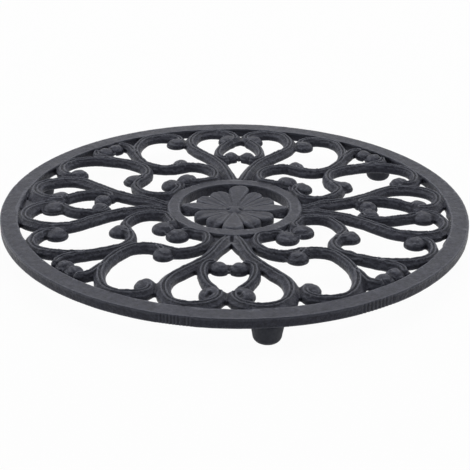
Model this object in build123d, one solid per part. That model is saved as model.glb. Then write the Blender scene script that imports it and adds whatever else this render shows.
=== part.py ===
from build123d import *
import os
from math import asin, atan2, copysign, cos, degrees, radians, sin, sqrt

# Round cast-iron trivet: openwork of hearts and scrolls between a hub ring and a rim, on three covered feet.
# Millimetres. The origin is on the table under the middle, +Z is up, and the hearts lie on the X and Y axes.

# Rim and hub ring
RIM_OUTER_RADIUS = 100.0
RIM_WIDTH = 7.5
RIM_THICKNESS = 4.3
RIM_EDGE_BEVEL = 0.6
HUB_OUTER_RADIUS = 28.8
HUB_WIDTH = 4.9
HUB_THICKNESS = 4.1
HUB_EDGE_BEVEL = 0.5
HUB_DROP = 0.5  # hub ring's top below the rim's top
STAND_HEIGHT = 13.2  # table to the rim's top

# Scroll bars: sloping flanks up to a ridge of two beads with a flute between them
RIDGE_RISE = 0.3  # beads above the rim's top
BAR_DEPTH = 3.8  # rim's top to a bar's underside
RIDGE_WIDTH = 2.0  # crest to crest of the two beads
FLUTE_DEPTH = 0.4
FLANK_DROP = 1.9  # beads to the upright sides
HEART_BAR_WIDTH = 5.7
HEART_CURL_WIDTH = 4.3
C_SCROLL_WIDTH = 4.7
HUB_CURL_WIDTH = 4.2
RIM_CURL_WIDTH = 4.0
SEAT = 0.4  # how far a bar's line runs into the ring that it is cut against

# Ball ends, which stand a little above the rim and carry the pot
BALL_RISE = 0.9  # top of a ball above the rim's top
DOME_HEIGHT = 2.3
HEART_BALL_RADIUS = 4.6
HEART_CURL_BALL_RADIUS = 3.7
C_SCROLL_INNER_BALL_RADIUS = 4.0
C_SCROLL_OUTER_BALL_RADIUS = 4.2
HUB_CURL_BALL_RADIUS = 4.5
RIM_CURL_BALL_RADIUS = 3.6

# Rosette: petals round a knob, dished towards the middle
LARGE_PETALS = 4
SMALL_PETALS_BETWEEN = 2
LARGE_PETAL_WIDTH = 9.4
SMALL_PETAL_WIDTH = 8.2
SMALL_PETAL_GAP = 5.5  # tips of the small petals to the hub ring
PETAL_THICKNESS = 3.9  # at the tips of the large petals
PETAL_EDGE_HEIGHT = 1.9  # height of the slopes that make the grooves between petals
PETAL_EDGE_WIDTH = 1.5
PETAL_ROOT_WIDTH = 0.6  # flat left between the two slopes of a petal at its root
PETAL_DROP = 0.7  # tips of the large petals below the rim's top
DISH_DEPTH = 2.1
DISH_SHOULDER_DROP = 0.75  # halfway out, where the dish gets steeper
KNOB_RADIUS = 3.6
KNOB_RISE = 1.2  # knob above the middle of the dish

# Feet: cast pegs under the rim, each in a rubber cover
FOOT_INSET = 6.9  # rim's outer edge to the middle of a foot
FOOT_ANGLES = (44.0, 164.0, 279.5)  # degrees from +X
PEG_RADIUS = 3.6
COVER_TOP_RADIUS = 6.4
COVER_BOTTOM_RADIUS = 5.3
COVER_EDGE_RADIUS = 1.6
COVER_SOLE = 2.6  # rubber under the peg

RIM_INNER_RADIUS = RIM_OUTER_RADIUS - RIM_WIDTH
HUB_INNER_RADIUS = HUB_OUTER_RADIUS - HUB_WIDTH
FOOT_CIRCLE_RADIUS = RIM_OUTER_RADIUS - FOOT_INSET
RIM_BOTTOM = STAND_HEIGHT - RIM_THICKNESS
BAR_TOP = STAND_HEIGHT + RIDGE_RISE
BAR_BOTTOM = STAND_HEIGHT - BAR_DEPTH
PETAL_TOP = STAND_HEIGHT - PETAL_DROP
PETAL_BOTTOM = PETAL_TOP - PETAL_THICKNESS
PETALS = LARGE_PETALS * (SMALL_PETALS_BETWEEN + 1)
WORK_SPAN = RIM_INNER_RADIUS - HUB_OUTER_RADIUS


def rim_share(width):
    """Share of the span at which a bar of this width seats against the rim."""
    return 1 + (SEAT - width / 2) / WORK_SPAN


def hub_share(width):
    """Share of the span at which a bar of this width seats against the hub ring."""
    return (width / 2 - SEAT) / WORK_SPAN


def eighth_pattern():
    """Width, centre line and ball ends of the members of one eighth, from a heart's axis to a diagonal.

    A point of a line is its angle from the heart's axis, its share of the span from hub ring to rim, and the
    heading there in degrees. A ball end is its angle, its share and its radius.
    """
    return {
        "heart_bar": (
            HEART_BAR_WIDTH,
            (
                (3.0, -0.02, 72),
                (13.6, 0.456, 50),
                (18.2, 0.753, 82),
                (8.3, rim_share(HEART_BAR_WIDTH), 182),
                (1.9, 0.801, 278),
            ),
            ((4.3, 0.800, HEART_BALL_RADIUS),),
        ),
        "heart_curl": (
            HEART_CURL_WIDTH,
            ((3.7, 0.746, -50), (9.3, 0.534, -88), (6.8, 0.411, 183)),
            ((3.7, 0.458, HEART_CURL_BALL_RADIUS),),
        ),
        "c_scroll": (
            C_SCROLL_WIDTH,
            (
                (21.6, 0.808, 109),
                (26.5, rim_share(C_SCROLL_WIDTH), -14),
                (37.7, 0.824, -90),
                (43.5, 0.520, -127),
                (39.9, 0.386, 181),
                (31.5, 0.381, 95),
            ),
            ((29.7, 0.395, C_SCROLL_INNER_BALL_RADIUS), (22.8, 0.806, C_SCROLL_OUTER_BALL_RADIUS)),
        ),
        "hub_curl": (
            HUB_CURL_WIDTH,
            (
                (37.1, 0.068, 218),
                (24.0, hub_share(HUB_CURL_WIDTH), 162),
                (16.1, 0.102, 92),
                (23.7, 0.321, 10),
                (34.9, 0.351, -15),
            ),
            ((37.8, 0.126, HUB_CURL_BALL_RADIUS),),
        ),
        "rim_curl": (
            RIM_CURL_WIDTH,
            ((40.2, 0.753, 64), (40.3, 0.946, -1)),
            ((43.0, 0.923, RIM_CURL_BALL_RADIUS),),
        ),
    }


def polar(angle, share):
    radius = HUB_OUTER_RADIUS + share * WORK_SPAN
    return Vector(radius * sin(radians(angle)), radius * cos(radians(angle)))


def direction(heading):
    return Vector(cos(radians(heading)), sin(radians(heading)))


def two_arcs(start, start_way, end, end_way):
    """A pair of tangent arcs from start to end, each as its start, its direction there and its end."""
    chord = end - start
    spread = 2 * (1 - start_way.dot(end_way))
    along = chord.dot(start_way + end_way)
    reach = (sqrt(along**2 + spread * chord.dot(chord)) - along) / spread
    middle = (start + start_way * reach + end - end_way * reach) / 2
    leg = (middle - start).normalized()
    middle_way = leg * (2 * start_way.dot(leg)) - start_way
    return [(start, start_way, middle), (middle, middle_way, end)]


def arc_run(section, start, way, end):
    """The section carried along one arc of a centre line."""
    chord = end - start
    left = Vector(-way.Y, way.X)
    bulge = chord.dot(left)
    radius = chord.dot(chord) / (2 * bulge)
    turn = 2 * degrees(atan2(abs(bulge), chord.dot(way)))
    axis = Axis(start + left * radius, (0, 0, copysign(1, bulge)))
    return revolve(Plane(origin=start, x_dir=left, z_dir=way) * section, axis, turn)


def along_line(section, line):
    runs = []
    for (angle, share, heading), (next_angle, next_share, next_heading) in zip(line, line[1:]):
        start = polar(angle, share)
        end = polar(next_angle, next_share)
        for arc in two_arcs(start, direction(heading), end, direction(next_heading)):
            runs.append(arc_run(section, *arc))
    return runs


def fluted_section(width):
    side = width / 2
    crest = RIDGE_WIDTH / 2
    return make_face(
        Polyline(
            (-side, BAR_BOTTOM),
            (side, BAR_BOTTOM),
            (side, BAR_TOP - FLANK_DROP),
            (crest, BAR_TOP),
            (0, BAR_TOP - FLUTE_DEPTH),
            (-crest, BAR_TOP),
            (-side, BAR_TOP - FLANK_DROP),
            close=True,
        )
    )


def tall_section(width):
    return Pos(0, STAND_HEIGHT / 2) * Rectangle(width, 2 * STAND_HEIGHT)


def ball(angle, share, radius):
    """A round end with a domed top."""
    middle = polar(angle, share)
    top = STAND_HEIGHT + BALL_RISE
    edge = top - DOME_HEIGHT
    dome_radius = (radius**2 + DOME_HEIGHT**2) / (2 * DOME_HEIGHT)
    half_angle = asin(radius / dome_radius) / 2
    crown = (dome_radius * sin(half_angle), top - dome_radius * (1 - cos(half_angle)))
    outline = [
        Polyline((0, top), (0, BAR_BOTTOM), (radius, BAR_BOTTOM), (radius, edge)),
        ThreePointArc((radius, edge), crown, (0, top)),
    ]
    upright = Plane(origin=middle, x_dir=(1, 0, 0), z_dir=(0, -1, 0))
    return revolve(upright * make_face(outline), Axis(middle, (0, 0, 1)))


def tall_ball(angle, share, radius):
    return Pos(polar(angle, share)) * Cylinder(radius, 4 * STAND_HEIGHT)


def largest(shape):
    return max(shape.solids(), key=lambda solid: solid.volume)


class Scroll:
    """A fluted bar with its ball ends, and the tall space that it keeps its neighbours out of."""

    def __init__(self, width, line, balls):
        self.solid = Part() + along_line(fluted_section(width), line) + [ball(*end) for end in balls]
        self.space = along_line(tall_section(width), line) + [tall_ball(*end) for end in balls]

    def cut(self, field, *neighbours):
        solid = self.solid & field
        for neighbour in neighbours:
            solid = solid - neighbour.space
        return largest(solid)


def eighth_field():
    """The space of one eighth of the work: between hub ring and rim, from a heart's axis to the diagonal."""
    corner = 2 * RIM_OUTER_RADIUS
    wedge = extrude(make_face(Polyline((0, 0), (0, corner), (corner, corner), close=True)), 2 * STAND_HEIGHT)
    span = Cylinder(RIM_INNER_RADIUS, 4 * STAND_HEIGHT) - Cylinder(HUB_OUTER_RADIUS, 4 * STAND_HEIGHT)
    return wedge & span


def openwork_eighth():
    scrolls = {name: Scroll(*member) for name, member in eighth_pattern().items()}
    heart_bar = scrolls["heart_bar"]
    c_scroll = scrolls["c_scroll"]
    field = eighth_field()
    return {
        "heart_bar": heart_bar.cut(field),
        "heart_curl": scrolls["heart_curl"].cut(field, heart_bar),
        "c_scroll": c_scroll.cut(field, heart_bar),
        "hub_curl": scrolls["hub_curl"].cut(field, heart_bar, c_scroll),
        "rim_curl": scrolls["rim_curl"].cut(field, c_scroll),
    }


def ring(outer_radius, width, top, thickness, bevel):
    """A flat hoop with bevelled top edges."""
    inner_radius = outer_radius - width
    outline = Polyline(
        (inner_radius, top - thickness),
        (outer_radius, top - thickness),
        (outer_radius, top - bevel),
        (outer_radius - bevel, top),
        (inner_radius, top),
        close=True,
    )
    return revolve(Plane.XZ * make_face(outline), Axis.Z)


def leaf(reach, width, inset, height):
    """Outline of a petal, drawn in by an inset, from its root in the middle to its round tip."""
    tip = Pos(reach - width / 2, 0) * Circle(width / 2 - inset)
    root = Circle(PETAL_EDGE_WIDTH + PETAL_ROOT_WIDTH / 2 - inset)
    return Pos(0, 0, height) * make_hull((tip + root).edges())


def petal(reach, width):
    """A leaf with upright walls and sloping edges, within its own sector of the rosette."""
    shoulder = PETAL_TOP - PETAL_EDGE_HEIGHT
    wall = extrude(leaf(reach, width, 0, PETAL_BOTTOM), shoulder - PETAL_BOTTOM)
    crown = leaf(reach, width, PETAL_EDGE_WIDTH, PETAL_TOP)
    slope = loft([leaf(reach, width, 0, shoulder), crown], ruled=True)
    corner = direction(180 / PETALS) * (2 * HUB_INNER_RADIUS)
    sector = make_face(Polyline((0, 0), (corner.X, -corner.Y), (corner.X, corner.Y), close=True))
    return (wall + slope) & extrude(sector, 2 * STAND_HEIGHT)


def rosette():
    middle_top = PETAL_TOP - DISH_DEPTH
    outline = Polyline(
        (0, PETAL_BOTTOM),
        (HUB_INNER_RADIUS, PETAL_BOTTOM),
        (HUB_INNER_RADIUS, PETAL_TOP),
        (HUB_INNER_RADIUS / 2, PETAL_TOP - DISH_SHOULDER_DROP),
        (0, middle_top),
        close=True,
    )
    dish = revolve(Plane.XZ * make_face(outline), Axis.Z)
    large = petal(HUB_INNER_RADIUS + 2 * SEAT, LARGE_PETAL_WIDTH) & dish
    small = petal(HUB_INNER_RADIUS - SMALL_PETAL_GAP, SMALL_PETAL_WIDTH) & dish
    knob_height = middle_top + KNOB_RISE - PETAL_BOTTOM
    flower = Pos(0, 0, PETAL_BOTTOM + knob_height / 2) * Cylinder(KNOB_RADIUS, knob_height)
    for index in range(PETALS):
        chosen = small if index % (SMALL_PETALS_BETWEEN + 1) else large
        flower += Rot(0, 0, index * 360 / PETALS) * chosen
    return flower


def foot_peg():
    height = RIM_BOTTOM - COVER_SOLE
    return Pos(0, 0, COVER_SOLE + height / 2) * Cylinder(PEG_RADIUS, height)


def foot_cover():
    """A tapered rubber cup with a rounded foot."""
    upward = (Align.CENTER, Align.CENTER, Align.MIN)
    body = Cone(COVER_BOTTOM_RADIUS, COVER_TOP_RADIUS, RIM_BOTTOM, align=upward)
    body = fillet(body.edges().group_by(Axis.Z)[0], COVER_EDGE_RADIUS)
    return body - foot_peg()


def build():
    parts = {
        "outer_rim": ring(RIM_OUTER_RADIUS, RIM_WIDTH, STAND_HEIGHT, RIM_THICKNESS, RIM_EDGE_BEVEL),
        "hub_ring": ring(HUB_OUTER_RADIUS, HUB_WIDTH, STAND_HEIGHT - HUB_DROP, HUB_THICKNESS, HUB_EDGE_BEVEL),
        "rosette": rosette(),
    }
    for name, solid in openwork_eighth().items():
        for quarter in range(4):
            turn = Rot(0, 0, 90 * quarter)
            parts[f"{name}_{2 * quarter + 1}"] = turn * solid
            parts[f"{name}_{2 * quarter + 2}"] = turn * mirror(solid, about=Plane.YZ)
    for number, angle in enumerate(FOOT_ANGLES, start=1):
        place = Rot(0, 0, angle) * Pos(FOOT_CIRCLE_RADIUS, 0, 0)
        parts[f"foot_peg_{number}"] = place * foot_peg()
        parts[f"foot_cover_{number}"] = place * foot_cover()
    return parts


os.makedirs("parts", exist_ok=True)
for name, shape in build().items():
    export_step(shape, f"parts/{name}.step")
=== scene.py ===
from math import atan2, cos, pi, radians, sin, sqrt

import bpy
import numpy as np
import openvdb
from mathutils import Matrix, Vector


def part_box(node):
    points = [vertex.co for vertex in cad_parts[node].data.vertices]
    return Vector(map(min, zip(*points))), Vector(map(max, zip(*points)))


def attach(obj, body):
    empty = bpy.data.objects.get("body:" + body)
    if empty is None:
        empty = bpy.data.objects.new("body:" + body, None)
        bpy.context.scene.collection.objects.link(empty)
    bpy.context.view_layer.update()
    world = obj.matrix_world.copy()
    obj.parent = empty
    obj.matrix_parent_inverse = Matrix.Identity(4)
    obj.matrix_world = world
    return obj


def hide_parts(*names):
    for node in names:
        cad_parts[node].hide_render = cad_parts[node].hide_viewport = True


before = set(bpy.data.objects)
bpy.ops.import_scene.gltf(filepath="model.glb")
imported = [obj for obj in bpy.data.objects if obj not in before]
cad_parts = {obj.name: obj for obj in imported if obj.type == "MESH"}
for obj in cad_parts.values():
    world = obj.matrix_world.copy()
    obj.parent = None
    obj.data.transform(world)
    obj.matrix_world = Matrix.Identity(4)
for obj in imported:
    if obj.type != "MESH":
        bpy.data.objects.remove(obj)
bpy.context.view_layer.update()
MM = 0.001


def cad_sizes(node):
    """Corner-to-corner box of a CAD node, in millimetres."""
    low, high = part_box(node)
    return np.array(low) / MM, np.array(high) / MM


# Sizes of the casting, in millimetres
RIM_OUTER, RIM_INNER = 100.0, 92.5
HUB_OUTER, HUB_INNER = 28.8, 23.9
RIM_BOTTOM, RIM_TOP = (corner[2] for corner in cad_sizes("outer_rim"))
HUB_BOTTOM, HUB_TOP = (corner[2] for corner in cad_sizes("hub_ring"))
BAR_BOTTOM, BALL_TOP = (corner[2] for corner in cad_sizes("heart_bar_1"))
SPAN = RIM_INNER - HUB_OUTER

# How far the skin differs from the solids in height
HUB_DEEPER = 1.0
PETAL_RAISE, PETAL_SINK = 0.4, 0.1
BAR_INSET = 0.25
HUB_UNDERSIDE = HUB_BOTTOM - HUB_DEEPER
PETAL_BOTTOM, PETAL_TOP = HUB_BOTTOM + PETAL_RAISE, HUB_TOP - PETAL_SINK
BAR_TOP, BAR_UNDERSIDE = BALL_TOP - BAR_INSET, BAR_BOTTOM + BAR_INSET

# How far the undersides of rim and hub ring run on under the bars
RIM_SHELF, HUB_SHELF = 0.6, 0.4

# Ball ends: a full round with the groove of the scroll winding into it, lifted underneath towards its side
DOME_HEIGHT, BALL_FULLNESS = 3.6, 2.0
BALL_SWELL = 0.4
BALL_LIFT, BALL_LIFT_BLEND = 0.6, 0.8
BALL_LIFT_CURVE, BALL_LIFT_REACH = 4, 1.0
WHORL_DEPTH, WHORL_WIDTH = 0.35, 0.14
WHORL_START, WHORL_REACH = 0.8, 0.6

# Section of a bar: two beads on a ridge, then sloping flanks. Heart bars dip at the hub ring
BEAD_OFFSET = 0.85
FLUTE_DEPTH = 0.9
BEAD_STEP, BEAD_STEP_WIDTH = 0.5, 0.45
FLANK_DROP, FLANK_CURVE = 1.8, 1.25
HUB_DIP, HUB_DIP_SHARE = 1.5, 0.13

# Softness of the casting: fillets in the plan, least thickness of a web, blends over the top, worn edges,
# and how steeply a top is carried on down beyond its side
PLAN_FILLET, HUB_FILLET, ROSETTE_FILLET = 1.6, 6.0, 0.25
WEB = 1.3
TOP_BLEND = 0.35
EDGE_ROUND = 0.35
BEYOND_SLOPE = 2.0

# Unevenness left by the sand mould: depth and width of its lumps, their share on the sides, the waver of
# the sides, and how much calmer rim and hub ring are
LUMPS = ((0.09, 3.0), (0.045, 1.2))
LUMP_SIGMAS = 3
SIDE_LUMPS = 0.5
WAVER_DEPTH, WAVER_WIDTH = 0.12, 9.0
HOOP_CALM, HOOP_EDGE = 0.7, 1.0

# Places where the hand-carved pattern strays from the repeated eighth, and how far: eight ball ends and the
# rosette's back petal. Strays fade out at rim and hub ring
STRAYS = (
    ((-79.5, -6.0), (2.0, 1.0)),
    ((-79.5, 6.0), (3.0, 0.0)),
    ((-73.9, -31.0), (2.3, 0.0)),
    ((-73.9, 31.0), (1.5, 1.0)),
    ((46.9, -26.8), (1.8, -0.5)),
    ((46.9, 26.8), (1.4, -1.5)),
    ((79.5, -6.0), (1.2, 0.0)),
    ((73.9, -31.0), (1.2, 0.0)),
    ((0.0, 20.0), (1.7, 0.0)),
)
STRAY_REACH, STRAY_FADE, PETAL_STRAY_FADE = 9.0, 6.0, 2.0

# Iron that pooled in the fork of the front heart: distances of its point and its end from the middle, half
# angle of the fork, drop below the bars, fillet, and half width at the hub ring with its growth from there
POOL_POINT, POOL_END, POOL_ANGLE = 37.3, 48.0, 29.0
POOL_DROP, POOL_FILLET = 1.5, PLAN_FILLET / 3
POOL_HALF_WIDTH, POOL_GROWTH = 1.8, 0.45

# Iron that ran into narrow gaps beside the rim and the hub ring: where, how far it spread from their sides
# and over what reach
RUN_IN = (
    (-90.4, -0.5, 2.4, 4.0),
    (-87.0, 2.6, 1.8, 4.0),
    (89.6, -0.5, 1.5, 4.0),
    (87.0, -29.0, 1.6, 4.0),
    (71.4, -55.5, 1.2, 4.0),
    (52.4, -72.4, 1.2, 4.0),
    (27.2, -84.6, 1.2, 4.0),
    (-22.4, 22.4, 2.4, 2.2),
    (22.4, 22.4, 2.4, 2.2),
)

# Pocket beside each heart bar at the hub ring, closed by a web: angle and share of the way to the rim, how
# far the web grows from the sides and over what reach
POCKET_PLACE = (12.0, 0.086)
POCKET_FILL, POCKET_REACH = 1.4, 2.5

# Marks of the grinding wheel on the outer wall: middle and half width in degrees, spacing
GROUND = ((-55.5, 6.0, 1.75), (-100.5, 5.0, 1.3))
GROUND_DEPTH = 0.3

# Grid on which the casting is sampled: cells, spare cells round it, how close to its edge it is read, and
# values far from lines, petals and skin
CELL, CELL_UP = 0.36, 0.3
SPARE_AROUND, SPARE_BELOW, SPARE_ABOVE = 4, 4, 6
GRID_EDGE = 0.001
LINE_FAR, PETAL_FAR, FIELD_FAR = 1e3, 1e2, 2.0

# Skin of the casting: merging of flat cells, reach of slope in cells and of bend in millimetres
SKIN_MERGE = 0.05
SLOPE_REACH, SLOPE_LEAST = 0.6, 1e-6
BEND_REACH = 0.5

# Cuts between members: depth of the face behind a cut, rounds of easing its loop, and corners that a loop
# needs for each round
CUT_DEPTH, CUT_EASE, EASE_CORNERS = 0.6, 10, 3

# A label is the member's number times this, plus the number of its copy
LABEL_STEP = 10

# Centre lines of one eighth of the work: width, then angle from the heart's axis, share of the way from hub
# ring to rim, and heading in degrees
LINES = {
    "heart_bar": (
        5.7,
        ((3.0, -0.02, 72), (13.6, 0.456, 50), (18.2, 0.753, 82), (8.3, 0.962, 182), (1.9, 0.801, 278)),
    ),
    "heart_curl": (4.3, ((3.7, 0.746, -50), (9.3, 0.534, -88), (6.8, 0.411, 183))),
    "c_scroll": (
        4.7,
        (
            (21.6, 0.808, 109),
            (26.5, 0.969, -14),
            (37.7, 0.824, -90),
            (43.5, 0.520, -127),
            (39.9, 0.386, 181),
            (31.5, 0.381, 95),
        ),
    ),
    "hub_curl": (
        4.2,
        ((37.1, 0.068, 218), (24.0, 0.027, 162), (16.1, 0.102, 92), (23.7, 0.321, 10), (34.9, 0.351, -15)),
    ),
    "rim_curl": (4.0, ((40.2, 0.753, 64), (40.3, 0.946, -1))),
}

# Ball ends: bar, angle, share, radius
BALLS = (
    ("heart_bar", 4.3, 0.800, 4.6),
    ("heart_curl", 3.7, 0.458, 3.7),
    ("c_scroll", 29.7, 0.395, 4.0),
    ("c_scroll", 22.8, 0.806, 4.2),
    ("hub_curl", 37.8, 0.126, 4.5),
    ("rim_curl", 43.0, 0.923, 3.6),
)

# Rosette: dish, reach and width of its petals, and how they meet each other, the hub ring and the knob
DISH_DEPTH, DISH_CURVE = 2.2, 1.7
PETAL_SECTOR = 30
LARGE_PETAL, LARGE_PETAL_RISE = (23.2, 9.4), 0.25
SMALL_PETAL = (19.1, 8.6)
PETAL_ROOT = 0.8
PETAL_WEB, PETAL_SET_IN = 1.5, 1.0
PETAL_FILLET, PETAL_BLEND = 0.4, 0.15
PETAL_EDGE, PETAL_EDGE_DROP = 1.5, 1.1
PETAL_CREASE, PETAL_CREASE_WIDTH = 0.3, 0.7
BOSS_RADIUS, BOSS_RISE, BOSS_CURVE, BOSS_BLEND = 4.4, 1.35, 3, 0.2

# Petals at the sides, carved to points: where the flat top starts to narrow, its half width there and at
# the hub ring, how steeply the flanks fall and how far
POINT_START, POINT_HALF_WIDTHS = 12.0, (4.0, 0.6)
POINT_SLOPE, POINT_DROP = 0.9, 1.9

# The rosette gets thicker towards the front: where, over what length and by how much
FRONT_START, FRONT_LENGTH, FRONT_DEPTH = 3.0, 8.0, 1.0

# Hollows of this one casting, beside the knob, at three broken petals, in the two front balls and along the
# fork of the front heart: where, how deep and how wide
HOLLOWS = (
    (-2.7, 0.0, 1.3, 1.0),
    (2.7, 0.0, 1.3, 1.0),
    (-9.6, -17.0, 2.4, 3.2),
    (9.6, -17.0, 2.0, 2.8),
    (-15.8, -9.4, 1.2, 2.2),
    (-6.3, -81.2, 1.5, 0.9),
    (-7.3, -82.5, 1.2, 0.8),
    (4.6, -80.6, 1.5, 0.9),
    (5.5, -82.3, 1.0, 0.8),
    (0.0, -30.0, 1.3, 0.7),
    (0.0, -31.3, 1.6, 0.7),
    (0.0, -32.6, 1.6, 0.7),
    (0.0, -33.9, 1.3, 0.7),
)

# Foot covers: radii under the rim and at the foot, roundings, flat and hollow of the sole as shares of the
# foot's radius, and how finely they are drawn
FEET = (1, 2, 3)
COVER_TOP, COVER_FOOT, COVER_BULGE = 6.6, 5.4, 0.15
COVER_EDGE, COVER_LIP = 2.7, 0.45
SOLE_FLAT, SOLE_HOLLOW, SOLE_DEPTH = 0.62, 0.55, 0.2
COVER_SIDES = 64
EDGE_STEPS, WALL_STEPS, LIP_STEPS = 9, 7, 4
WALL_FIRST = 0.1

# Colours and shine
WHITE = (1.0, 1.0, 1.0, 1.0)
IRON_DARK, IRON_PALE = (0.0208, 0.0214, 0.0315), (0.0294, 0.03, 0.0425)
# The second colour on the next line is painted shade, laid into the concave grooves and hollows of the iron
RUBBED_IRON, PAINTED_HOLLOW_SHADE = (0.07, 0.073, 0.092, 1.0), (0.01, 0.0105, 0.014, 1.0)
RUBBED_ROUGHNESS = (0.3, 0.3, 0.3, 1.0)
RUBBER_DARK, RUBBER_PALE = (0.0095, 0.0102, 0.015), (0.015, 0.016, 0.0225)
COOL_SHINE = (0.85, 0.885, 1.0, 1.0)
IRON_SHINE = 0.27

# Stage, in metres
FLOOR_SHADE, PAPER = 0.035, (0.62, 0.62, 0.62, 1.0)
FLOOR_START = 0.02
BACKDROP_RADIUS, BACKDROP_HEIGHT, BACKDROP_BEND = 3.0, 1.7, 0.6
BACKDROP_SIDES, BACKDROP_STEPS = 96, 9
WORLD_LEVEL = 0.1

# Lamps: name, place, size and power, all turned to one target
LAMP_TARGET = (0.0, 0.0, 0.0)
LAMPS = (
    ("back", (0.0, 1.2, 1.2), (1.8, 1.0), 7.5),
    ("top", (0.0, 0.3, 1.4), (1.6, 1.5), 17.0),
    ("left", (-1.1, 0.3, 0.5), (0.8, 0.6), 4.0),
    ("right", (1.1, 0.3, 0.5), (0.8, 0.6), 2.2),
)

# Camera that took the photograph, in pixels, degrees and millimetres. The nearest it sees is in metres
IMAGE_SIZE = 470
FOCAL_PIXELS = 1211.88
CAMERA_PLACE = (14.84, -477.94, RIM_TOP + 214.49)
CAMERA_DROP = 25.595
CAMERA_HEADING = 1.745
CAMERA_ROLL = 0.689
SENSOR = 36.0
CAMERA_NEAREST = 0.01


# Plan of the work

def polar(angle, share):
    """Place at an angle from the heart's axis and a share of the way from hub ring to rim."""
    radius = HUB_OUTER + share * SPAN
    return np.array((radius * sin(radians(angle)), radius * cos(radians(angle))))


def way(heading):
    """Unit step along a heading."""
    return np.array((cos(radians(heading)), sin(radians(heading))))


def arcs_of(line):
    """Pairs of tangent arcs that join the places of a centre line."""
    arcs = []
    for (angle, share, heading), (next_angle, next_share, next_heading) in zip(line, line[1:]):
        start, end = polar(angle, share), polar(next_angle, next_share)
        start_way, end_way = way(heading), way(next_heading)
        chord = end - start
        spread = 2 * (1 - start_way @ end_way)
        along = chord @ (start_way + end_way)
        reach = (sqrt(along**2 + spread * (chord @ chord)) - along) / spread
        middle = (start + start_way * reach + end - end_way * reach) / 2
        leg = (middle - start) / np.linalg.norm(middle - start)
        middle_way = leg * (2 * (start_way @ leg)) - start_way
        arcs.append(arc(start, start_way, middle))
        arcs.append(arc(middle, middle_way, end))
    return arcs


def arc(start, start_way, end):
    """Centre, radius, middle angle, half angle and the two ends of an arc that sets off along a heading."""
    chord = end - start
    left = np.array((-start_way[1], start_way[0]))
    bulge = chord @ left
    radius = (chord @ chord) / (2 * bulge)
    centre = start + left * radius
    turn = 2 * atan2(bulge, chord @ start_way)
    first = atan2(start[1] - centre[1], start[0] - centre[0])
    return centre, abs(radius), first + turn / 2, abs(turn) / 2, start, end


def line_distance(x, y, arcs):
    """Distance to the nearest of some arcs."""
    best = np.full(x.shape, LINE_FAR, np.float32)
    for centre, radius, middle_angle, half_angle, start, end in arcs:
        dx, dy = x - centre[0], y - centre[1]
        angle = (np.arctan2(dy, dx) - middle_angle + pi) % (2 * pi) - pi
        on_arc = np.abs(np.hypot(dx, dy) - radius)
        to_end = np.minimum(np.hypot(x - start[0], y - start[1]), np.hypot(x - end[0], y - end[1]))
        best = np.minimum(best, np.where(np.abs(angle) <= half_angle, on_arc, to_end))
    return best


def soft_min(a, b, size):
    """Lesser of two values, blended where they come closer than a size."""
    blend = np.clip(0.5 + 0.5 * (b - a) / size, 0, 1)
    return b + (a - b) * blend - size * blend * (1 - blend)


def soft_max(a, b, size):
    """Greater of two values, blended where they come closer than a size."""
    return -soft_min(-a, -b, size)


def step(value):
    """Smooth step from 0 to 1."""
    value = np.clip(value, 0, 1)
    return value * value * (3 - 2 * value)


def bar_height(off, half_width):
    """Top of a bar at a distance from its centre line, carried on down beyond its side."""
    flute = FLUTE_DEPTH * np.cos(np.clip(off / BEAD_OFFSET, 0, 1) * pi / 2) ** 2
    bead = BEAD_STEP * step((off - BEAD_OFFSET) / BEAD_STEP_WIDTH)
    out = np.maximum(off - BEAD_OFFSET, 0) / (half_width - BEAD_OFFSET)
    flank = (FLANK_DROP - BEAD_STEP) * out**FLANK_CURVE
    return BAR_TOP - flute - bead - flank


def whorl_of(line, middle):
    """Where a scroll winds into its ball end, and which way round."""
    ends = ((line[-1], line[-2], 0), (line[0], line[1], 180))
    nearest = min(ends, key=lambda end: np.linalg.norm(polar(*end[0][:2]) - middle))
    (_, _, heading), (_, _, before), back = nearest
    turn = 1 if (heading - before + 180) % 360 > 180 else -1
    return radians(heading + back - 90 * turn), turn


def ball_height(dx, dy, radius, first, turn):
    """Top of a ball end, carried on down beyond its side."""
    off = np.hypot(dx, dy) / radius
    share = np.clip(off, 0, 1)
    dome = DOME_HEIGHT * (1 - (1 - share**BALL_FULLNESS) ** (1 / BALL_FULLNESS))
    wound = (turn * (np.arctan2(dy, dx) - first)) % (2 * pi) / (2 * pi)
    from_groove = (share - WHORL_START + WHORL_REACH * wound) / WHORL_WIDTH
    groove = WHORL_DEPTH * (1 - wound) * np.exp(-(from_groove**2))
    return BALL_TOP - dome - groove - DOME_HEIGHT * np.maximum(off - 1, 0)


def petal_distance(x, y, angle, reach, width):
    """Distance to a leaf that widens from the middle to a round tip."""
    c, s = cos(radians(angle)), sin(radians(angle))
    across = np.abs(x * c - y * s)
    along = x * s + y * c
    tip = width / 2
    length = reach - tip
    slope = (PETAL_ROOT - tip) / length
    lean = sqrt(1 - slope * slope)
    side = -slope * across + lean * along
    root = np.hypot(across, along) - PETAL_ROOT
    end = np.hypot(across, along - length) - tip
    flank = across * lean + along * slope - PETAL_ROOT
    return np.where(side < 0, root, np.where(side > lean * length, end, flank))


def hoop_distance(radius, outer, inner):
    """Plan distance to a ring."""
    return np.abs(radius - (outer + inner) / 2) - (outer - inner) / 2


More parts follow.
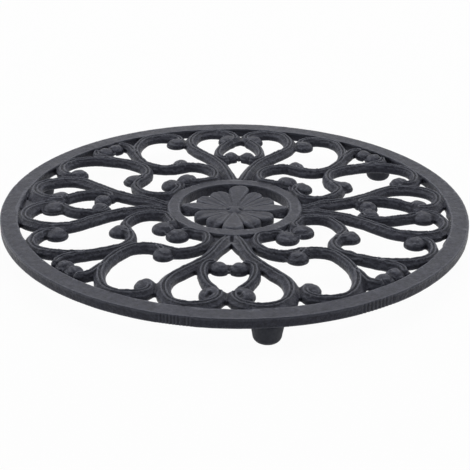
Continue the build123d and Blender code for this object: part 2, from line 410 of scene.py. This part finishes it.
def openwork(x, y):
    """Plan distance, top height, lift of the underside and nearest member, folded into one eighth."""
    radius = np.hypot(x, y)
    names = ["outer_rim", "hub_ring"]
    plans = [hoop_distance(radius, RIM_OUTER, RIM_INNER), hoop_distance(radius, HUB_OUTER, HUB_INNER)]
    heights = (RIM_TOP, HUB_TOP)
    tops = [height - BEYOND_SLOPE * np.maximum(plan, 0) for height, plan in zip(heights, plans)]
    mirrored = []
    bars, lift = np.minimum(plans[0], plans[1]), np.zeros(x.shape, np.float32)
    hub_dip = HUB_DIP * step(1 - (radius - HUB_OUTER) / (HUB_DIP_SHARE * SPAN))
    for name, (width, line) in LINES.items():
        arcs = arcs_of(line)
        dip = hub_dip if name == "heart_bar" else 0
        for px, py, own in ((x, y, True), (-x, y, False), (y, x, False)):
            off = line_distance(px, py, arcs)
            member_plan = off - width / 2
            bars = np.minimum(bars, member_plan)
            member_top = bar_height(off, width / 2) - dip
            for bar, angle, share, ball_radius in BALLS:
                if bar == name:
                    middle = polar(angle, share)
                    ball_radius = ball_radius + BALL_SWELL
                    dx, dy = px - middle[0], py - middle[1]
                    ball_off = np.hypot(dx, dy)
                    member_plan = np.minimum(member_plan, ball_off - ball_radius)
                    lifted = ball_off < ball_radius + BALL_LIFT_REACH
                    round_off = np.where(lifted, ball_off / ball_radius, 0)
                    lift = np.maximum(lift, BALL_LIFT * round_off**BALL_LIFT_CURVE)
                    ball_top = ball_height(dx, dy, ball_radius, *whorl_of(line, middle))
                    member_top = soft_max(member_top, ball_top, TOP_BLEND)
            if own:
                names.append(name)
                plans.append(member_plan)
                tops.append(member_top)
            else:
                mirrored.append((member_plan, member_top))
    owner = np.argmin(np.stack(plans), axis=0)
    plan, top = plans[0], tops[0]
    for other_plan, other_top in list(zip(plans[2:], tops[2:])) + mirrored:
        plan = soft_min(plan, other_plan, PLAN_FILLET)
        top = soft_max(top, other_top, TOP_BLEND)
    plan = soft_min(plan, plans[1], HUB_FILLET)
    middle = polar(*POCKET_PLACE)
    pocket_off = np.hypot(x - middle[0], y - middle[1])
    plan = plan - POCKET_FILL * np.exp(-((pocket_off / POCKET_REACH) ** 2))
    lift = lift * step(bars / BALL_LIFT_BLEND)
    return plan, soft_max(top, tops[1], TOP_BLEND), lift, owner, names


def rosette(x, y):
    """Plan distance and top height of the petals and knob, folded into one eighth."""
    radius = np.hypot(x, y)
    dish = PETAL_TOP - DISH_DEPTH * (1 - np.clip(radius / HUB_INNER, 0, 1)) ** DISH_CURVE
    plan = radius - BOSS_RADIUS
    top = np.full(x.shape, PETAL_BOTTOM, np.float32)
    for sector in (0, 1, 2, -1):
        angle = sector * PETAL_SECTOR
        reach, width = SMALL_PETAL if sector else LARGE_PETAL
        leaf = petal_distance(x, y, angle, reach, width)
        edge = np.clip(1 + leaf / PETAL_EDGE, 0, None)
        across = x * cos(radians(angle)) - y * sin(radians(angle))
        crease = PETAL_CREASE * np.exp(-((across / PETAL_CREASE_WIDTH) ** 2)) if sector else 0
        rise = 0 if sector else LARGE_PETAL_RISE
        top = soft_max(top, dish + rise - crease - PETAL_EDGE_DROP * edge**2, PETAL_BLEND)
        if sector == 0:
            leaf = petal_distance(x, y, angle, reach + PETAL_WEB, width)
        plan = soft_min(plan, leaf, PETAL_FILLET)
    boss_off = np.clip(radius / BOSS_RADIUS, 0, 2)
    boss = PETAL_TOP - DISH_DEPTH + BOSS_RISE - BOSS_RISE * boss_off**BOSS_CURVE
    return plan, soft_max(top, boss, BOSS_BLEND)


# Marks of this one casting, at each place of the plan

def carved_from(across):
    """Place in the regular pattern that each place of the plan was carved from."""
    x, y = np.meshgrid(across, across, indexing="ij")
    radius = np.hypot(x, y)
    free = step((RIM_INNER - radius) / STRAY_FADE) * step((radius - HUB_OUTER) / STRAY_FADE)
    free = np.maximum(free, step((HUB_INNER - radius) / PETAL_STRAY_FADE))
    from_x, from_y = x.copy(), y.copy()
    for (place_x, place_y), (shift_x, shift_y) in STRAYS:
        off = np.hypot(x - place_x - shift_x, y - place_y - shift_y)
        share = free * np.exp(-((off / STRAY_REACH) ** 2))
        from_x -= shift_x * share
        from_y -= shift_y * share
    return from_x, from_y


def side_points(across):
    """How much lower the petals at the sides are beside their points."""
    side, off = np.abs(across)[:, None], np.abs(across)[None, :]
    wide, narrow = POINT_HALF_WIDTHS
    half_width = wide + (narrow - wide) * step((side - POINT_START) / (HUB_INNER - POINT_START))
    flank = np.clip(POINT_SLOPE * (off - half_width), 0, POINT_DROP)
    turn = radians(PETAL_SECTOR / 2)
    return flank * step(0.5 + (side * sin(turn) - off * cos(turn)) / EDGE_ROUND)


def front_pool(across):
    """Plan distance to the web of iron in the fork of the front heart, between the middles of its bars."""
    sideways, outward = np.abs(across)[:, None], -across[None, :]
    turn = radians(POOL_ANGLE)
    fork = (outward - POOL_POINT) * sin(turn) - sideways * cos(turn)
    bars = sideways - POOL_HALF_WIDTH - POOL_GROWTH * (outward - HUB_OUTER)
    return np.maximum(np.maximum(fork, bars), np.maximum(outward - POOL_END, HUB_OUTER - outward))


def spots(across, places):
    """Sum of soft round spots, each given by its place, strength and reach."""
    total = 0
    for x, y, strength, reach in places:
        off = np.hypot(across[:, None] - x, across[None, :] - y)
        total = total + strength * np.exp(-((off / reach) ** 2))
    return total


def ground_marks(across):
    """Depth of the upright grinding marks."""
    bearing = np.degrees(np.arctan2(across[None, :], across[:, None]))
    depth = np.zeros(bearing.shape, np.float32)
    for middle, half_width, spacing in GROUND:
        waves = 0.5 + 0.5 * np.cos((bearing - middle) * (2 * pi * radians(1) * RIM_OUTER / spacing))
        depth += GROUND_DEPTH * waves * step(2 * (1 - np.abs(bearing - middle) / half_width))
    return depth


def lumps(shape, size, seed):
    """Smooth random unevenness of unit strength, with lumps of a given size."""
    rng = np.random.default_rng(seed)
    waves = [np.fft.fftfreq(count, CELL) for count in shape]
    keep = np.exp(-2 * (pi * size / LUMP_SIGMAS) ** 2 * (waves[0][:, None] ** 2 + waves[1][None, :] ** 2))
    values = np.fft.ifft2(np.fft.fft2(rng.standard_normal(shape)) * keep).real
    return (values / values.std()).astype(np.float32)


# Skin of the casting

def regular_quarter(count):
    """Plan, heights, calmness and members of one quarter of the regular pattern, on the sampling grid."""
    steps = np.arange(count + 1, dtype=np.float32) * CELL
    along_x, along_y = np.meshgrid(steps, steps, indexing="ij")
    x, y = np.minimum(along_x, along_y), np.maximum(along_x, along_y)
    radius = np.hypot(x, y)
    plan, top, lift, owner, names = openwork(x, y)
    petal_plan, petal_top = rosette(x, y)
    owner = np.where((petal_plan < plan) & (radius < HUB_INNER), len(names), owner)
    petal_plan = np.where(radius < HUB_INNER + PETAL_SET_IN, petal_plan, PETAL_FAR)
    underside = np.where(radius < HUB_OUTER + HUB_SHELF, HUB_UNDERSIDE, BAR_UNDERSIDE + lift)
    underside = np.where(radius > RIM_INNER - RIM_SHELF, RIM_BOTTOM, underside).astype(np.float32)
    on_rim = step((radius - RIM_INNER + HOOP_EDGE) / (2 * HOOP_EDGE))
    on_hub = step((HUB_OUTER + HOOP_EDGE - radius) / (2 * HOOP_EDGE))
    calm = (1 - HOOP_CALM * np.maximum(on_rim, on_hub)).astype(np.float32)
    return (radius, plan, top, underside, petal_plan, petal_top, calm), owner, names + ["rosette"]


def unfolded(values, place_x, place_y):
    """Values of the quarter's grid between its points, at places given in grid steps."""
    base_x, base_y = place_x.astype(int), place_y.astype(int)
    part_x, part_y = place_x - base_x, place_y - base_y
    near = values[base_x, base_y] * (1 - part_x) + values[base_x + 1, base_y] * part_x
    far = values[base_x, base_y + 1] * (1 - part_x) + values[base_x + 1, base_y + 1] * part_x
    return (near * (1 - part_y) + far * part_y).astype(np.float32)


def eighth_number(x, y):
    """Number of the eighth that a place lies in, counted as the copies of a member are."""
    quarter = np.where(np.abs(x) > np.abs(y), np.where(x > 0, 3, 1), np.where(y > 0, 0, 2))
    across = np.choose(quarter, (x, y, -x, -y))
    return 2 * quarter + np.where(across >= 0, 1, 2)


def casting_field():
    """The casting as a sampled distance, its low corner, and labels of the members in its plan."""
    count = int(RIM_OUTER / CELL) + SPARE_AROUND
    regular, owner, names = regular_quarter(count)
    across = np.arange(-count, count + 1, dtype=np.float32) * CELL
    carved = carved_from(across)
    places = [np.minimum(np.abs(place) / CELL, count - GRID_EDGE) for place in carved]
    whole = [unfolded(values, *places) for values in regular]
    radius, plan, top, underside, petal_plan, petal_top, calm = whole

    pool, pits = front_pool(across), spots(across, HOLLOWS)
    plan = soft_min(plan, pool, POOL_FILLET) - spots(across, RUN_IN)
    top = soft_max(top, BAR_TOP - POOL_DROP - BEYOND_SLOPE * np.maximum(pool, 0), TOP_BLEND)
    top = np.maximum(top, underside + WEB)
    petal_top = petal_top - side_points(across) - pits
    petal_under = PETAL_BOTTOM - FRONT_DEPTH * step((-across[None, :] - FRONT_START) / FRONT_LENGTH)

    uneven = sum(depth * lumps(plan.shape, size, seed) for seed, (depth, size) in enumerate(LUMPS))
    waver = WAVER_DEPTH * lumps(plan.shape, WAVER_WIDTH, len(LUMPS))
    top = np.minimum(top + uneven * calm, BALL_TOP) - pits
    petal_top = petal_top + uneven * calm
    plan = plan + (waver + SIDE_LUMPS * uneven) * calm
    plan = np.maximum(plan, radius - RIM_OUTER + ground_marks(across))

    low = HUB_UNDERSIDE - SPARE_BELOW * CELL_UP
    levels = np.arange(int((BALL_TOP - low) / CELL_UP) + SPARE_ABOVE, dtype=np.float32) * CELL_UP + low
    field = np.empty(plan.shape + (len(levels),), np.float32)
    for index, level in enumerate(levels):
        work = soft_max(plan, level - top, EDGE_ROUND)
        work = soft_max(work, underside - level, EDGE_ROUND)
        flower = soft_max(petal_plan, level - petal_top, EDGE_ROUND)
        flower = soft_max(flower, petal_under - level, EDGE_ROUND)
        field[:, :, index] = soft_min(work, flower, ROSETTE_FILLET)

    nearest_x, nearest_y = (np.rint(place).astype(int) for place in places)
    member = owner[nearest_x, nearest_y]
    repeated = np.isin(member, [names.index(name) for name in LINES])
    label = member * LABEL_STEP + np.where(repeated, eighth_number(*carved), 0)
    return field, (-count * CELL, -count * CELL, low), label, names


def sample(field, places):
    """Field between its grid points, at places given in grid steps."""
    places = np.clip(places, 0, np.array(field.shape) - 1 - GRID_EDGE)
    base = places.astype(np.int32)
    part = (places - base).astype(np.float32)
    total = np.zeros(len(places), np.float32)
    for corner in range(8):
        pick = np.array([(corner >> axis) & 1 for axis in range(3)])
        weight = np.prod(np.where(pick, part, 1 - part), axis=1)
        index = base + pick
        total += weight * field[index[:, 0], index[:, 1], index[:, 2]]
    return total


def casting_surface(field, corner):
    """Corners, outward directions, bending and faces of the casting's skin."""
    grid = openvdb.FloatGrid(FIELD_FAR)
    grid.copyFromArray(field)
    places, triangles, quads = grid.convertToPolygons(isovalue=0.0, adaptivity=SKIN_MERGE)
    scale = np.array((CELL, CELL, CELL_UP))
    slope, bend = np.zeros(places.shape, np.float32), np.zeros(len(places), np.float32)
    for axis, along in enumerate(np.eye(3)):
        shift = along * SLOPE_REACH
        slope[:, axis] = (sample(field, places + shift) - sample(field, places - shift)) / scale[axis]
        shift = along * (BEND_REACH / scale[axis])
        bend += (sample(field, places + shift) + sample(field, places - shift)) / BEND_REACH
    outward = slope / np.maximum(np.linalg.norm(slope, axis=1, keepdims=True), SLOPE_LEAST)
    faces = [np.asarray(group) for group in (triangles, quads) if len(group)]
    return places * scale + np.array(corner), outward, bend, faces


def cut_loops(groups):
    """Loops of corners along which a part of the skin was cut from its neighbours."""
    sides = [np.stack((group, np.roll(group, -1, axis=1)), axis=-1).reshape(-1, 2) for group in groups]
    sides = np.concatenate(sides)
    span = sides.max() + 1
    single = sides[~np.isin(sides[:, 0] * span + sides[:, 1], sides[:, 1] * span + sides[:, 0])]
    following = {}
    for start, end in single.tolist():
        following.setdefault(start, []).append(end)
    loops = []
    for start in list(following):
        while following[start]:
            path = [start]
            while True:
                onward = following.get(path[-1])
                if not onward:
                    break
                corner = onward.pop()
                if corner in path:
                    first = path.index(corner)
                    loops.append(path[first:][::-1])
                    path = path[: first + 1]
                else:
                    path.append(corner)
    return [loop for loop in loops if len(loop) > 2]


def eased(places):
    """A cut's loop with its steps smoothed out."""
    for _ in range(min(CUT_EASE, len(places) // EASE_CORNERS)):
        places = (np.roll(places, 1, axis=0) + 2 * places + np.roll(places, -1, axis=0)) / 4
    return places


def cut_face(places):
    """Triangles that close a cut's loop, each across the shortest way left."""
    left = list(range(len(places)))
    faces = []
    while len(left) > 3:
        spans = np.roll(places[left], 1, axis=0) - np.roll(places[left], -1, axis=0)
        ear = int(np.linalg.norm(spans, axis=1).argmin())
        faces.append((left[ear - 1], left[ear], left[(ear + 1) % len(left)]))
        del left[ear]
    return faces + [tuple(left)]


def closed_member(groups, points, outward):
    """Corners, places and faces of a part of the skin, closed behind its cuts."""
    used = np.unique(np.concatenate([group.ravel() for group in groups]))
    own = np.zeros(len(points), np.int64)
    own[used] = np.arange(len(used))
    groups = [own[group] for group in groups if len(group)]
    polygons = [polygon for group in groups for polygon in group.tolist()]
    corners, places = used.tolist(), [points[used]]
    for loop in cut_loops(groups):
        inner = list(range(len(corners), len(corners) + len(loop)))
        corners += used[loop].tolist()
        sunk = eased(points[used[loop]] - outward[used[loop]] * CUT_DEPTH)
        places.append(sunk)
        for index in range(len(loop)):
            polygons.append((loop[index - 1], loop[index], inner[index], inner[index - 1]))
        polygons += [[inner[index] for index in face] for face in cut_face(sunk)]
    return corners, np.concatenate(places), polygons


# Pieces

def new_object(name, data):
    """An object in the scene."""
    thing = bpy.data.objects.new(name, data)
    bpy.context.scene.collection.objects.link(thing)
    return thing


def add_piece(name, points, faces, material, slot, outward=None, bend=None):
    """A smooth piece of the trivet, from points in millimetres."""
    mesh = bpy.data.meshes.new(name)
    mesh.from_pydata((points * MM).tolist(), [], faces)
    mesh.polygons.foreach_set("use_smooth", [True] * len(mesh.polygons))
    if outward is not None:
        mesh.normals_split_custom_set_from_vertices(outward.tolist())
    if bend is not None:
        mesh.attributes.new("bend", "FLOAT", "POINT").data.foreach_set("value", bend)
    mesh.materials.append(material)
    piece = new_object(name, mesh)
    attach(piece, "root")
    return piece


def add_casting(material):
    """The casting as one skin, cut into the members that the CAD has."""
    field, corner, label_at, names = casting_field()
    points, outward, bend, faces = casting_surface(field, corner)
    labels = []
    for group in faces:
        middle = points[group].mean(axis=1)
        column = np.rint((middle[:, :2] - np.array(corner[:2])) / CELL).astype(int)
        labels.append(label_at[column[:, 0], column[:, 1]])
    for label in np.unique(np.concatenate(labels)):
        member, copy = divmod(label, LABEL_STEP)
        name = names[member] + (f"_{copy}" if copy else "")
        groups = [group[marks == label] for group, marks in zip(faces, labels)]
        corners, places, polygons = closed_member(groups, points, outward)
        looks = outward[corners], bend[corners]
        piece = add_piece("cast_" + name, places, polygons, material, "iron", *looks)
        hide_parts(name)


def turned_points(profile, sides, middle=(0.0, 0.0)):
    """Rings of points round an upright axis, one for each radius and height."""
    turns = [2 * pi * side / sides for side in range(sides)]
    return [
        (middle[0] + radius * cos(turn), middle[1] + radius * sin(turn), height)
        for radius, height in profile
        for turn in turns
    ]


def turned_faces(rings, sides):
    """Faces between rings of points, seen from outside where the rings rise."""
    faces = []
    for ring in range(rings - 1):
        near, far = ring * sides, (ring + 1) * sides
        for side in range(sides):
            following = (side + 1) % sides
            faces.append((near + side, near + following, far + following, far + side))
    return faces


def cover_profile(height):
    """Radius and height of points up a cover, from its sole to the lip under the rim."""
    foot = COVER_FOOT + COVER_BULGE
    profile = [(SOLE_HOLLOW * COVER_FOOT, SOLE_DEPTH), (SOLE_FLAT * COVER_FOOT, 0.0)]
    for turn in np.linspace(0, pi / 2, EDGE_STEPS):
        profile.append((foot - COVER_EDGE * (1 - sin(turn)), COVER_EDGE * (1 - cos(turn))))
    for share in np.linspace(WALL_FIRST, 1, WALL_STEPS):
        rise = COVER_EDGE + share * (height - COVER_LIP - COVER_EDGE)
        profile.append((foot + share * (COVER_TOP - foot), rise))
    for turn in np.linspace(0, pi / 2, LIP_STEPS + 1)[1:]:
        profile.append((COVER_TOP - COVER_LIP * (1 - cos(turn)), height - COVER_LIP * (1 - sin(turn))))
    return profile


def add_cover(number, material):
    """Rubber cover of one foot."""
    low, high = cad_sizes(f"foot_cover_{number}")
    profile = cover_profile(high[2])
    points = turned_points(profile, COVER_SIDES, (low + high) / 2)
    sole = tuple(reversed(range(COVER_SIDES)))
    lid = tuple(range(len(points) - COVER_SIDES, len(points)))
    faces = [sole, *turned_faces(len(profile), COVER_SIDES), lid]
    piece = add_piece(f"cover_{number}", np.array(points), faces, material, "rubber")
    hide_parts(f"foot_cover_{number}")


# Materials

def new_material(name):
    """A material, its nodes and its shader."""
    material = bpy.data.materials.new(name)
    material.use_nodes = True
    tree = material.node_tree
    return material, tree, tree.nodes["Principled BSDF"]


def feed(tree, value, socket):
    """Link an output to a socket, or set a constant on it."""
    if hasattr(value, "is_output"):
        tree.links.new(value, socket)
    else:
        socket.default_value = value


def noise(tree, scale, detail, roughness, stretch=None):
    """Noise that is fixed to the object."""
    place = tree.nodes.new("ShaderNodeTexCoord").outputs["Object"]
    texture = tree.nodes.new("ShaderNodeTexNoise")
    texture.inputs["Scale"].default_value = scale
    texture.inputs["Detail"].default_value = detail
    texture.inputs["Roughness"].default_value = roughness
    if stretch:
        mapping = tree.nodes.new("ShaderNodeMapping")
        mapping.inputs["Scale"].default_value = stretch
        tree.links.new(place, mapping.inputs["Vector"])
        place = mapping.outputs["Vector"]
    tree.links.new(place, texture.inputs["Vector"])
    return texture.outputs["Fac"]


def ramp(tree, value, stops):
    """Colours or greys for a value, given at stops."""
    node = tree.nodes.new("ShaderNodeValToRGB")
    while len(node.color_ramp.elements) < len(stops):
        node.color_ramp.elements.new(0.5)
    for element, (position, colour) in zip(node.color_ramp.elements, stops):
        element.position = position
        element.color = (*colour, 1.0) if isinstance(colour, tuple) else (colour, colour, colour, 1.0)
    tree.links.new(value, node.inputs["Fac"])
    return node.outputs["Color"]


def mix(tree, factor, first, second, how="MIX"):
    """Mixture of two colours."""
    node = tree.nodes.new("ShaderNodeMix")
    node.data_type = "RGBA"
    node.blend_type = how
    for value, socket in ((factor, "Factor"), (first, "A"), (second, "B")):
        feed(tree, value, node.inputs[socket])
    return node.outputs["Result"]


def scaled(tree, value, factor):
    """A value times a constant."""
    node = tree.nodes.new("ShaderNodeMath")
    node.operation = "MULTIPLY"
    node.inputs[1].default_value = factor
    tree.links.new(value, node.inputs[0])
    return node.outputs["Value"]


def bump(tree, height, strength, distance, under=None):
    """Bumps of a depth in metres, over other bumps."""
    node = tree.nodes.new("ShaderNodeBump")
    feed(tree, strength, node.inputs["Strength"])
    node.inputs["Distance"].default_value = distance
    tree.links.new(height, node.inputs["Height"])
    if under is not None:
        tree.links.new(under, node.inputs["Normal"])
    return node.outputs["Normal"]


def grinding_marks(tree):
    """Upright marks in patches of the outer wall, where the casting was fettled."""
    place = tree.nodes.new("ShaderNodeTexCoord")
    reach = tree.nodes.new("ShaderNodeVectorMath")
    reach.operation = "MULTIPLY"
    reach.inputs[1].default_value = (1.0, 1.0, 0.0)
    tree.links.new(place.outputs["Object"], reach.inputs[0])
    length = tree.nodes.new("ShaderNodeVectorMath")
    length.operation = "LENGTH"
    tree.links.new(reach.outputs["Vector"], length.inputs[0])
    share = scaled(tree, length.outputs["Value"], 1 / (RIM_OUTER * MM))
    wall = ramp(tree, share, ((0.992, 0.0), (0.996, 1.0)))
    patch = ramp(tree, noise(tree, scale=22, detail=1, roughness=0.4), ((0.5, 0.0), (0.6, 1.0)))
    streaks = noise(tree, scale=700, detail=2, roughness=0.5, stretch=(1.0, 1.0, 0.04))
    return mix(tree, 1.0, mix(tree, 1.0, wall, patch, "MULTIPLY"), streaks, "MULTIPLY")


def iron_material():
    """Sand-cast iron under a thin satin black finish, paler on its edges, with painted shade darkening its
    grooves and hollows.
    """
    material, tree, shader = new_material("cast_iron")
    cloud = noise(tree, scale=90, detail=4, roughness=0.6)
    mottle = ramp(tree, cloud, ((0.35, IRON_DARK), (0.68, IRON_PALE)))
    grain = ramp(tree, noise(tree, scale=800, detail=5, roughness=0.75), ((0.32, 0.3), (0.68, 1.7)))
    colour = mix(tree, 1.0, mottle, grain, "MULTIPLY")
    bend = tree.nodes.new("ShaderNodeAttribute")
    bend.attribute_name = "bend"
    rubbed = ramp(tree, bend.outputs["Fac"], ((0.1, 0.0), (0.5, 0.85)))
    # Painted shade: concave places of the skin, where the bend is below zero, are darkened towards the
    # hollow colour
    painted_shade = ramp(tree, scaled(tree, bend.outputs["Fac"], -1.0), ((0.08, 0.0), (0.5, 0.75)))
    colour = mix(tree, rubbed, colour, RUBBED_IRON)
    colour = mix(tree, painted_shade, colour, PAINTED_HOLLOW_SHADE)
    tree.links.new(colour, shader.inputs["Base Color"])
    satin = ramp(tree, noise(tree, scale=420, detail=4, roughness=0.6), ((0.3, 0.34), (0.72, 0.54)))
    satin = mix(tree, rubbed, satin, RUBBED_ROUGHNESS)
    tree.links.new(satin, shader.inputs["Roughness"])
    geometry = tree.nodes.new("ShaderNodeNewGeometry")
    upright = tree.nodes.new("ShaderNodeSeparateXYZ")
    tree.links.new(geometry.outputs["Normal"], upright.inputs["Vector"])
    sandy = ramp(tree, upright.outputs["Z"], ((0.75, 1.0), (0.98, 0.28)))
    coarse = noise(tree, scale=330, detail=3, roughness=0.55)
    middling = noise(tree, scale=1000, detail=4, roughness=0.65)
    fine = noise(tree, scale=2200, detail=2, roughness=0.6)
    rough = bump(tree, coarse, strength=sandy, distance=0.0005)
    rough = bump(tree, middling, strength=sandy, distance=0.0004, under=rough)
    rough = bump(tree, fine, strength=0.6, distance=0.00012, under=rough)
    rough = bump(tree, grinding_marks(tree), strength=0.5, distance=0.0003, under=rough)
    tree.links.new(rough, shader.inputs["Normal"])
    shader.inputs["Specular IOR Level"].default_value = IRON_SHINE
    shader.inputs["Specular Tint"].default_value = COOL_SHINE
    return material


def rubber_material():
    """Dull black rubber."""
    material, tree, shader = new_material("black_rubber")
    cloud = noise(tree, scale=300, detail=4, roughness=0.6)
    colour = ramp(tree, cloud, ((0.3, RUBBER_DARK), (0.75, RUBBER_PALE)))
    tree.links.new(colour, shader.inputs["Base Color"])
    dull = ramp(tree, noise(tree, scale=900, detail=3, roughness=0.6), ((0.3, 0.62), (0.7, 0.78)))
    tree.links.new(dull, shader.inputs["Roughness"])
    grain = noise(tree, scale=1400, detail=3, roughness=0.5)
    tree.links.new(bump(tree, grain, strength=0.2, distance=0.0001), shader.inputs["Normal"])
    shader.inputs["Specular Tint"].default_value = COOL_SHINE
    return material


# Stage

def seen_by_eye(tree):
    """One for the rays that show a surface to the viewer, straight, mirrored or through glass."""
    path = tree.nodes.new("ShaderNodeLightPath")
    total = path.outputs["Is Camera Ray"]
    for kind in ("Is Glossy Ray", "Is Transmission Ray"):
        most = tree.nodes.new("ShaderNodeMath")
        most.operation = "MAXIMUM"
        tree.links.new(total, most.inputs[0])
        tree.links.new(path.outputs[kind], most.inputs[1])
        total = most.outputs["Value"]
    return total


def white_paper():
    """Paper that shows white to the viewer and keeps a little of the shadow on it."""
    material, tree, shader = new_material("white_paper")
    tree.nodes.remove(shader)
    paper = tree.nodes.new("ShaderNodeBsdfDiffuse")
    paper.inputs["Color"].default_value = PAPER
    glow = tree.nodes.new("ShaderNodeEmission")
    glow.inputs["Color"].default_value = WHITE
    shown = tree.nodes.new("ShaderNodeMixShader")
    shown.inputs["Fac"].default_value = FLOOR_SHADE
    tree.links.new(glow.outputs["Emission"], shown.inputs[1])
    tree.links.new(paper.outputs["BSDF"], shown.inputs[2])
    choice = tree.nodes.new("ShaderNodeMixShader")
    tree.links.new(seen_by_eye(tree), choice.inputs["Fac"])
    tree.links.new(paper.outputs["BSDF"], choice.inputs[1])
    tree.links.new(shown.outputs["Shader"], choice.inputs[2])
    tree.links.new(choice.outputs["Shader"], tree.nodes["Material Output"].inputs["Surface"])
    return material


def add_backdrop():
    """A round white floor that bends up into a wall."""
    profile = [(FLOOR_START, 0.0), (BACKDROP_RADIUS - BACKDROP_BEND, 0.0)]
    for turn in np.linspace(0, pi / 2, BACKDROP_STEPS)[1:]:
        radius = BACKDROP_RADIUS - BACKDROP_BEND * (1 - sin(turn))
        profile.append((radius, BACKDROP_BEND * (1 - cos(turn))))
    profile.append((BACKDROP_RADIUS, BACKDROP_HEIGHT))
    inward = [(face[0], *face[:0:-1]) for face in turned_faces(len(profile), BACKDROP_SIDES)]
    mesh = bpy.data.meshes.new("backdrop")
    mesh.from_pydata(turned_points(profile, BACKDROP_SIDES), [], [tuple(range(BACKDROP_SIDES)), *inward])
    mesh.materials.append(white_paper())
    backdrop = new_object("backdrop", mesh)


def add_lights():
    """Soft lamps in a dim white room."""
    world = bpy.data.worlds.new("studio")
    bpy.context.scene.world = world
    world.use_nodes = True
    background = world.node_tree.nodes["Background"]
    background.inputs["Color"].default_value = WHITE
    background.inputs["Strength"].default_value = WORLD_LEVEL
    for name, place, size, power in LAMPS:
        light = bpy.data.lights.new(name, "AREA")
        light.shape = "RECTANGLE"
        light.size, light.size_y = size
        light.energy = power
        lamp = new_object(name, light)
        lamp.location = place
        lamp.rotation_euler = (Vector(LAMP_TARGET) - Vector(place)).to_track_quat("-Z", "Y").to_euler()


def add_camera():
    """The camera at the photograph's place."""
    scene = bpy.context.scene
    data = bpy.data.cameras.new("camera")
    data.sensor_width = SENSOR
    data.lens = SENSOR * FOCAL_PIXELS / IMAGE_SIZE
    data.clip_start = CAMERA_NEAREST
    camera = new_object("camera", data)
    turn = Matrix.Rotation(radians(CAMERA_HEADING), 4, "Z")
    tilt = Matrix.Rotation(radians(90 - CAMERA_DROP), 4, "X")
    roll = Matrix.Rotation(radians(CAMERA_ROLL), 4, "Z")
    camera.matrix_world = Matrix.Translation(Vector(CAMERA_PLACE) * MM) @ turn @ tilt @ roll
    scene.camera = camera
    scene.view_settings.view_transform = "Standard"


iron = iron_material()
rubber = rubber_material()
add_casting(iron)
for number in FEET:
    add_cover(number, rubber)
    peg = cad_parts[f"foot_peg_{number}"]
    peg.data.materials.clear()
    peg.data.materials.append(iron)
add_backdrop()
add_lights()
add_camera()
